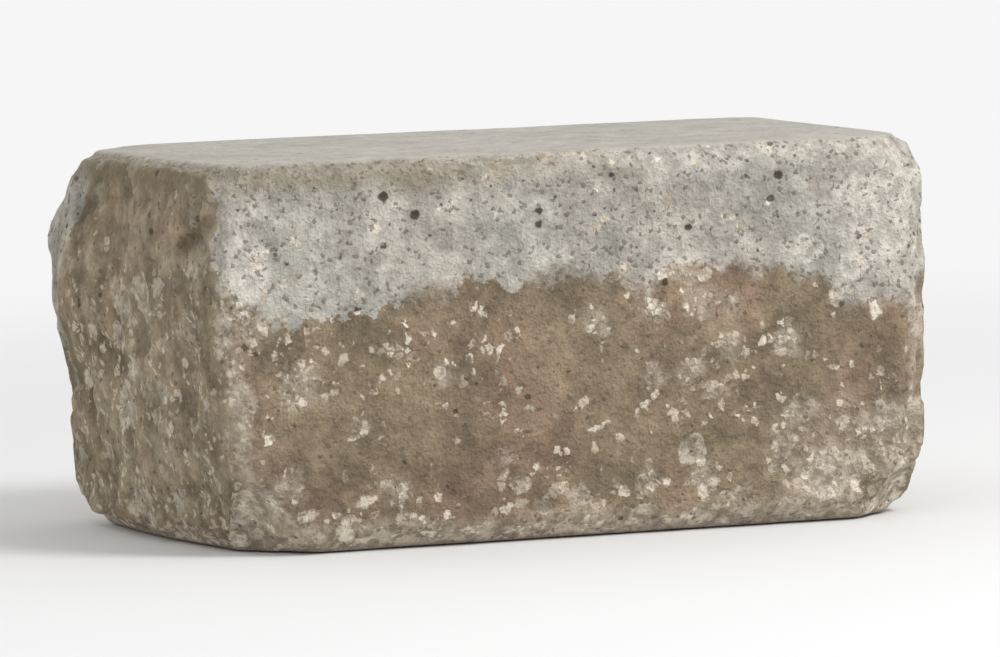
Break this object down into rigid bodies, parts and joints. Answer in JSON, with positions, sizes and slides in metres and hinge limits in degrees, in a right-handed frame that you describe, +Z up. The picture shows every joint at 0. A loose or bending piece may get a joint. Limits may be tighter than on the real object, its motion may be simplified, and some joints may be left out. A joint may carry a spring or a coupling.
{
  "type": "wall block",
  "caption": "Tumbled concrete block for dry-laid garden walls, with flat beds, smooth long faces and rough split ends.",
  "frame": {"origin": "middle of the bottom bed face, which rests on the ground or on the course below", "axes": "+X along the wall from one split end to the other, +Y from the front face into the wall, +Z up"},
  "size_m": [0.3223, 0.175, 0.15],
  "materials": {
    "concrete": "tumbled and split, dry, brown and grey blend"
  },
  "bodies": {
    "root": {"wall_block": "concrete"}
  },
  "joints": []
}
